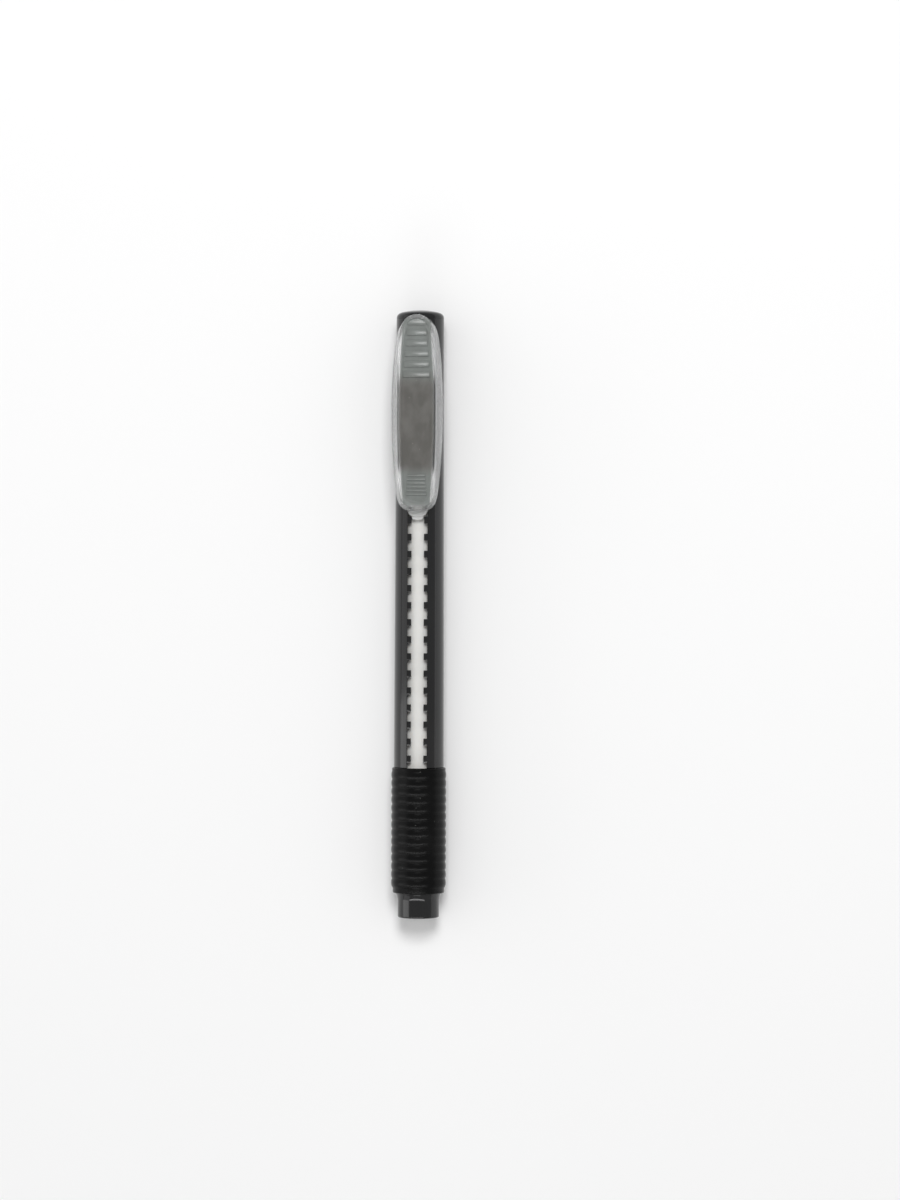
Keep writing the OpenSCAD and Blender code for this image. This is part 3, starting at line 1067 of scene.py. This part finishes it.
    def shell(self) -> Solid:
        """Returns the clip's shell, drawn out ring by ring from the edge of its panel."""
        rings = self.rim_rings() + self.flank_rings() + self.inner_rings()
        count = len(rings[0])
        deselect()
        bpy.ops.mesh.primitive_circle_add(vertices=count, radius=MM, enter_editmode=True)
        piece = bpy.context.object
        bpy.ops.mesh.select_mode(type="EDGE")
        bpy.ops.mesh.select_all(action="SELECT")
        first = line = list(range(count))
        self._place(piece, line, rings[0])
        for ring in rings[1:]:
            bpy.ops.mesh.extrude_edges_move()
            line = self._drawn_from(piece, line)
            self._place(piece, line, ring)
        self._rule(piece, first)
        self._rule(piece, line)
        deselect()
        face_outwards(piece)
        return piece

    def _place(self, piece: Solid, line: Sequence[int], ring: Sequence[Vector]) -> None:
        """Puts the vertices of an open piece on the points of a ring."""
        mesh = bmesh.from_edit_mesh(piece.data)
        mesh.verts.ensure_lookup_table()
        for index, point in zip(line, ring):
            mesh.verts[index].co = point
        bmesh.update_edit_mesh(piece.data)

    def _drawn_from(self, piece: Solid, line: Sequence[int]) -> list[int]:
        """Returns the selected vertices that were just drawn out of a line of others, in its order."""
        mesh = bmesh.from_edit_mesh(piece.data)
        mesh.verts.index_update()
        mesh.verts.ensure_lookup_table()
        drawn = []
        for vertex in (mesh.verts[index] for index in line):
            ends = (edge.other_vert(vertex) for edge in vertex.link_edges)
            drawn.append(next(end.index for end in ends if end.select))
        return drawn

    def _rule(self, piece: Solid, line: Sequence[int]) -> None:
        """Closes a ring with faces ruled straight across it."""
        mesh = bmesh.from_edit_mesh(piece.data)
        mesh.verts.ensure_lookup_table()
        tip = 2 * self.outline_steps
        right = list(line[: tip + 1])
        left = [line[0], *reversed(line[tip + 1 :]), line[tip]]
        for k in range(tip):
            corners = dict.fromkeys((right[k], right[k + 1], left[k + 1], left[k]))
            mesh.faces.new([mesh.verts[index] for index in corners])
        bmesh.update_edit_mesh(piece.data)

    def panel_height(self, station: float) -> float:
        """Returns the height of the recessed panel at a station."""
        return self.face_height(station) - self.recess

    def thumb_step(self, number: int) -> Solid:
        """Returns one thumb step: a wedge with its crest towards the toe."""
        start = self.thumb_start + number * self.thumb_pitch
        end = start + self.thumb_length
        wide, narrow = self.thumb_widths
        half = (wide + (narrow - wide) * number / (self.thumb_steps - 1)) / 2
        panel = self.panel_height(start + self.thumb_pitch / 2)
        top = panel + self.thumb_rise
        step = block("step", (-half, start, panel - self.thumb_rise), (half, end, top))
        edit(step, "SELECT")
        bpy.ops.mesh.bisect(plane_co=LAY.point(0, start + self.thumb_crest, 0), plane_no=(0, 1, 0))
        rear, high = LAY.point(0, end - 0.01, top - 0.01)[1:]
        select(step, "VERT", lambda v: v.co.y > rear and v.co.z > high)
        bpy.ops.transform.translate(value=(0, 0, -self.thumb_fall * self.thumb_rise * MM))
        deselect()
        face_outwards(step)
        ease_edges(step, self.soft_edge, 3)
        return step

    def toe_rib(self, number: int) -> Solid:
        """Returns one rib of the toe: a bar that lies half sunk across the panel."""
        station = self.toe_start + number * self.toe_pitch
        width = self.toe_width - self.toe_narrowing * number
        height = self.panel_height(station) - self.toe_sink
        rib = cross_bar("rib", self.toe_radius, width, station, height, 32)
        ease_edges(rib, self.rib_edge, 3)
        return rib

    def stem(self, left: float, right: float, radius: float, station: float, height: float) -> Solid:
        """Returns the stem by which a cross bar, whose middle lies at a height, hangs from the panel."""
        top = self.panel_height(station) - self.panel + self.stem_sink
        return block("stem", (left, station - radius, height), (right, station + radius, top))

    def cheek(self, side: int) -> Solid:
        """Returns one cheek, which hangs from the panel beside the carriage's neck."""
        radius, station, height = self.cheek_radius, self.pivot_station, self.pivot_height
        width = self.cheek_out - self.cheek_in
        middle = side * (self.cheek_in + self.cheek_out) / 2
        cheek = cross_bar("cheek", radius, width, station, height)
        cheek.location.x = middle * MM
        settle(cheek)
        stem = self.stem(middle - width / 2, middle + width / 2, radius, station, height)
        combine(cheek, [stem], Cut.ADD)
        return cheek

    def bead(self) -> Solid:
        """Returns the rounded bead under the toe, which grips cloth."""
        radius, half, station = self.bead_radius, self.bead_width / 2, self.bead_station
        height = self.bead_low + radius
        bead = cross_bar("bead", radius, self.bead_width, station, height, 64)
        combine(bead, [self.stem(-half, half, radius, station, height)], Cut.ADD)
        ease_edges(bead, self.soft_edge, 3)
        return bead

    def model(self) -> Solid:
        """Returns the finished clip."""
        piece = self.shell()
        underside = [self.cheek(-1), self.cheek(1), self.bead()]
        steps = [self.thumb_step(k) for k in range(self.thumb_steps)]
        ribs = [self.toe_rib(k) for k in range(self.toe_ribs)]
        combine(piece, [*underside, *steps, *ribs], Cut.ADD)
        pivot_length = 2 * self.pivot_half + 0.1
        hole = cross_bar("hole", self.pivot_radius, pivot_length, self.pivot_station, self.pivot_height)
        combine(piece, [hole], Cut.REMOVE)
        face_outwards(piece)
        return smooth(piece, self.crease)


@dataclass
class Studio:
    """The pale floor, the soft lights and the camera."""

    target: Point = (6.33, 65.64, 0.0)
    distance: float = 0.7069
    lean: float = math.radians(4.7)
    roll: float = math.radians(0.2)
    lens: float = 102.9
    floor_colour: Colour = (0.95, 0.95, 0.95)
    floor_size: float = 6.0
    room_light: float = 0.5

    def camera(self) -> None:
        """Sets up the camera, which looks down on the stick."""
        data = bpy.data.cameras.new("camera")
        data.lens = self.lens
        data.sensor_width = 36.0
        camera = bpy.data.objects.new("camera", data)
        back = Vector((math.sin(self.lean), 0, math.cos(self.lean)))
        camera.location = Vector(LAY.point(*self.target)) + back * self.distance
        camera.rotation_euler = (0, self.lean, self.roll)
        bpy.context.scene.collection.objects.link(camera)
        bpy.context.scene.camera = camera

    def lamp(
        self, name: str, place: Point, size: tuple[float, float], level: float, role: Role = Role.BOTH
    ) -> None:
        """Hangs a soft lamp over the stick.

        Args:
            name: The lamp's name.
            place: Where it hangs, in metres.
            size: Its sides in metres, the first across the stick and the second along it.
            level: What it adds to a white sheet that faces it, where 1 is white.
            role: Whether it lights, shines in glossy surfaces, or both.
        """
        data = bpy.data.lights.new(name, "AREA")
        data.shape = "RECTANGLE"
        data.size, data.size_y = size
        lamp = bpy.data.objects.new(name, data)
        lamp.location = place
        towards = lamp.location.normalized()
        data.energy = level * (math.pi * lamp.location.length) ** 2
        across = Vector((0, 1, 0)).cross(towards).normalized()
        along = towards.cross(across)
        lamp.rotation_euler = Matrix((across, along, towards)).transposed().to_euler()
        lamp.visible_camera = False
        lamp.visible_glossy = role is not Role.LIGHT
        lamp.visible_diffuse = role is not Role.SHINE
        bpy.context.scene.collection.objects.link(lamp)

    def world(self) -> None:
        """Lights the room evenly."""
        world = bpy.data.worlds.new("room")
        world.use_nodes = True
        background = world.node_tree.nodes["Background"].inputs
        background["Color"].default_value = (1, 1, 1, 1)
        background["Strength"].default_value = self.room_light
        bpy.context.scene.world = world

    def floor(self) -> None:
        """Lays the floor."""
        deselect()
        bpy.ops.mesh.primitive_plane_add(size=self.floor_size)
        floor = bpy.context.object
        floor.name = "floor"
        shader = Shader("floor")
        surface = shader.surface(Base_Color=self.floor_colour, Roughness=0.7, Specular_IOR_Level=0.0)
        floor.data.materials.append(shader.finish(surface))

    def set_up(self) -> None:
        """Sets up the whole studio."""
        scene = bpy.context.scene
        scene.view_settings.view_transform = "Standard"
        self.camera()
        self.world()
        self.floor()
        self.lamp("key", (0.1, 0.4, 0.9), (0.3, 0.3), 0.46, Role.LIGHT)
        self.lamp("sheen", (0, 0.5, 0.85), (0.3, 0.25), 0.06)
        self.lamp("left", (-0.7, 0, 0.2), (0.2, 1.0), 0.1, Role.LIGHT)
        self.lamp("right", (0.7, 0, 0.05), (0.06, 1.0), 0.03)
        self.lamp("low", (-0.05, -0.9, 0.55), (0.5, 0.3), 0.09)
        self.lamp("collar", (-0.3, -0.1, 0.1), (0.25, 0.09), 0.08, Role.SHINE)
        self.lamp("rings", (-0.05, -0.42, 0.82), (1.5, 0.1), 0.36, Role.SHINE)
        self.lamp("wall", (-0.8, 0, 0.35), (0.6, 1.6), 0.24, Role.SHINE)


def dress_node(name: str, material: bpy.types.Material) -> None:
    """Gives a node of the construction a better finish."""
    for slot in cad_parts[name].material_slots:
        slot.material = material


def main() -> None:
    """Builds, dresses and lights the stick."""
    logging.basicConfig(level=logging.INFO, format="%(name)s: %(message)s")
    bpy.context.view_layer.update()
    gloss, milky = GlossBlack().make(), MilkyClear().make()
    barrel = Barrel()
    Piece("barrel_shell", Body.PEN, Slot.BARREL, ("barrel",)).fit(barrel.model(), gloss)
    Piece("tail_cap", Body.PEN, Slot.BARREL, ("tail_plug",)).fit(barrel.model_plug(), gloss)
    Piece("nose_collar", Body.PEN, Slot.NOSE, ("nose_tip",)).fit(Nose().model(), gloss)
    Piece("ringed_grip", Body.PEN, Slot.GRIP, ("grip_sleeve",)).fit(Grip().model(), GripRubber().make())
    vinyl = WhiteVinyl().make()
    Piece("eraser_rod", Body.REFILL, Slot.ERASER, ("eraser_stick",)).fit(Eraser().model(), vinyl)
    Piece("tongue", Body.CARRIAGE, Slot.HOLDER, ("click_tongue",)).fit(Tongue().model(), milky)
    Piece("oval_clip", Body.CLIP, Slot.CLIP, ("clip",)).fit(PocketClip().model(), SmokeClear().make())
    dress_node("eraser_holder", milky)
    Studio().set_up()


if __name__ == "__main__":
    main()
